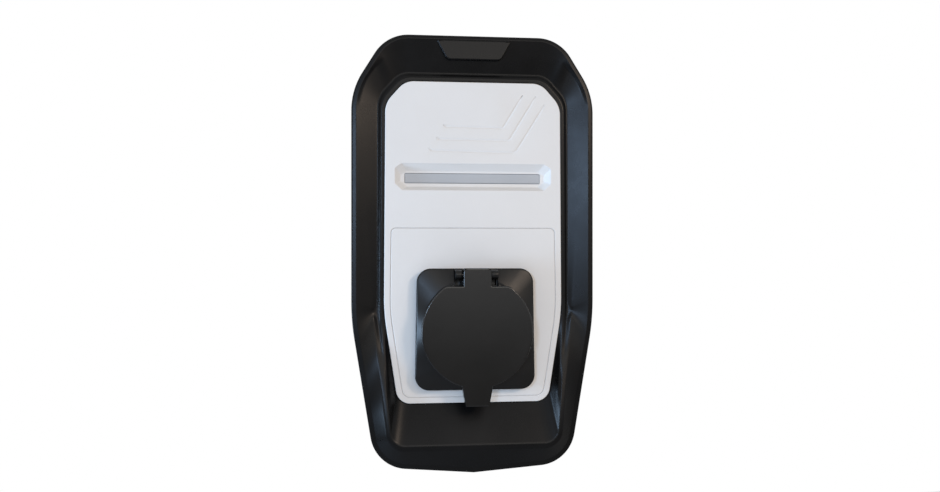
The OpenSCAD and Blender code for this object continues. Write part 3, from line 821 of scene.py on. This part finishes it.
def lid_shape():
    """The lid from the front: an arm at the top, a disc, and a tab at the bottom."""
    R = (lid_hi.x - lid_lo.x) / 2 / MM
    shoulder, tab_end = -30.8, -146.3
    xt = sqrt(R * R - (shoulder - SOCK_Z) ** 2)
    a0 = atan2(shoulder - SOCK_Z, xt)
    root, tip = 15.0, 11.4                      # half the tab's width
    a1 = -pi / 2 + atan2(root, sqrt(R * R - root * root))
    h = [P2(0, -13.5)]
    h += fillet((0, -13.5), (ARM, -13.5, 0.8), (ARM, -20), 5)
    h += split(h[-1], P2(ARM, shoulder + 1), 4)
    h += fillet((ARM, -20), (ARM, shoulder, 0.7), (20, shoulder), 5)
    h += split(h[-1], P2(xt - 3, shoulder), 4)
    h += [P2(xt - 1.2, shoulder - 0.05)]
    n = 64
    turns = [mix(a0 - 0.03, a1, i / n) for i in range(n)]
    h += [P2(R * cos(t), SOCK_Z + R * sin(t)) for t in turns]
    z1 = SOCK_Z + R * sin(a1)
    h += fillet((root + 3, z1 + 0.9), (root, z1, 0.8), (tip, tab_end), 5)
    h += split(h[-1], P2(tip + 0.3, tab_end + 1.8), 6)
    h += fillet((root, z1), (tip, tab_end, 1.3), (0, tab_end), 6)
    h += split(h[-1], P2(0, tab_end), 5) + [P2(0, tab_end)]
    return resample(both(h), 3.2)


def lid():
    d = LID_FRONT
    back = d - 8
    pl = Plate()
    first, cap = pl.edge_ring(lid_shape(), rim_out(back, d, 1.1, 6, 0.5))
    pl.fill(cap)
    # back of the lid: flat with a raised ring that carries the seal
    ridge = [(0, back), (0.6, back + 0.25), (1.4, back + 1.2), (7.6, back + 1.2)]
    ra, rb = pl.edge_ring(disc(0, SOCK_Z, 46, 128), ridge)
    pl.fill(first, ra)
    seat = [(0, back + 1.2), (0, back + 2.2), (3.7, back + 2.2), (3.7, back), (4.4, back),
            (5.0, back + 0.4), (6.4, back + 3.4), (7.2, back + 3.5)]
    ga, gb = pl.edge_ring(disc(0, SOCK_Z, 38.3, 128), seat)
    pl.skin(rb, ga)
    pl.fill(gb)
    pl.object("lid_shell", "lid", "frame_black", M["lid"], ["socket_lid"], sharp=60)


def lid_barrel():
    """Two short barrels behind the arm that turn on the pin."""
    bm = bmesh.new()
    n, r = 40, BARREL_R
    turns = [2 * pi * i / n for i in range(n)]
    for x0, x1 in ((-ARM, -5.6), (5.6, ARM)):
        secs = [(x0, r - 0.4), (x0 + 0.4, r), (x1 - 0.4, r), (x1, r - 0.4)]
        rings = [[bm.verts.new(at(P2(x, HINGE_Z + q * sin(t)), HINGE_D - q * cos(t))) for t in turns]
                 for x, q in secs]
        for u, v in zip(rings, rings[1:]):
            for i in range(n):
                bm.faces.new((u[i], u[(i + 1) % n], v[(i + 1) % n], v[i]))
        bm.faces.new(rings[0])
        bm.faces.new(rings[-1])
    bmesh.ops.recalc_face_normals(bm, faces=bm.faces)
    piece(bm, "lid_barrel", "lid", M["lid"], ["socket_lid"], 50)


lid()
lid_barrel()


# ---------------------------------------------------------------- light, floor and background
def lamp(name, loc, target, size, power, col, size_y):
    ld = bpy.data.lights.new(name, "AREA")
    ld.shape = "RECTANGLE"
    ld.size, ld.size_y = size, size_y
    ld.energy = power
    ld.color = col
    ob = bpy.data.objects.new(name, ld)
    scene.collection.objects.link(ob)
    ob.location = loc
    ob.rotation_euler = (Vector(target) - Vector(loc)).to_track_quat("-Z", "Y").to_euler()


lamp("window_front", (-0.66, -1.90, 0.20), (0.1, -0.1, 0.03), 0.25, 9.5, (0.48, 0.69, 1.0), 0.20)
lamp("window_side", (-1.23, -0.35, -0.13), (0.05, -0.1, -0.12), 0.24, 13, (0.50, 0.72, 1.0), 0.32)
lamp("warm_right", (0.76, -1.46, 0.46), (0, -0.1, -0.04), 0.28, 6.5, (1.0, 0.80, 0.64), 0.26)
lamp("soft_front", (0.20, -2.45, 0.55), (0, -0.1, 0.0), 0.9, 7, (1.0, 0.95, 0.88), 0.9)

FLOOR_Z, HALF_FLOOR, NEAR, FAR = -0.72, 4, -9, 1.8
corners = ((-HALF_FLOOR, NEAR), (HALF_FLOOR, NEAR), (HALF_FLOOR, FAR), (-HALF_FLOOR, FAR))
floor_me = bpy.data.meshes.new("floor")
floor_me.from_pydata([(x, y, FLOOR_Z) for x, y in corners], [], [(0, 1, 2, 3)])
floor = bpy.data.objects.new("floor", floor_me)
scene.collection.objects.link(floor)
fm = bpy.data.materials.new("floor_pale")
fm.use_nodes = True
fb = fm.node_tree.nodes["Principled BSDF"]
fb.inputs["Base Color"].default_value = (0.68, 0.68, 0.68, 1)
fb.inputs["Roughness"].default_value = 0.9
floor_me.materials.append(fm)

world = bpy.data.worlds.new("world")
scene.world = world
world.use_nodes = True
wt = world.node_tree
wn, wl = wt.nodes, wt.links
bg = wn["Background"]
bg.inputs["Color"].default_value = (1.0, 0.96, 0.91, 1)
bg.inputs["Strength"].default_value = 0.41
white = wn.new("ShaderNodeBackground")
white.inputs["Color"].default_value = (1, 1, 1, 1)
white.inputs["Strength"].default_value = 1.0
lp = wn.new("ShaderNodeLightPath")
m1 = wn.new("ShaderNodeMath")
m1.operation = "MAXIMUM"
m2 = wn.new("ShaderNodeMath")
m2.operation = "MAXIMUM"
wl.new(lp.outputs["Is Camera Ray"], m1.inputs[0])
wl.new(lp.outputs["Is Glossy Ray"], m1.inputs[1])
wl.new(m1.outputs["Value"], m2.inputs[0])
wl.new(lp.outputs["Is Transmission Ray"], m2.inputs[1])
ms = wn.new("ShaderNodeMixShader")
wl.new(m2.outputs["Value"], ms.inputs["Fac"])
wl.new(bg.outputs["Background"], ms.inputs[1])
wl.new(white.outputs["Background"], ms.inputs[2])
wl.new(ms.outputs["Shader"], wn["World Output"].inputs["Surface"])

scene.view_settings.view_transform = "Standard"
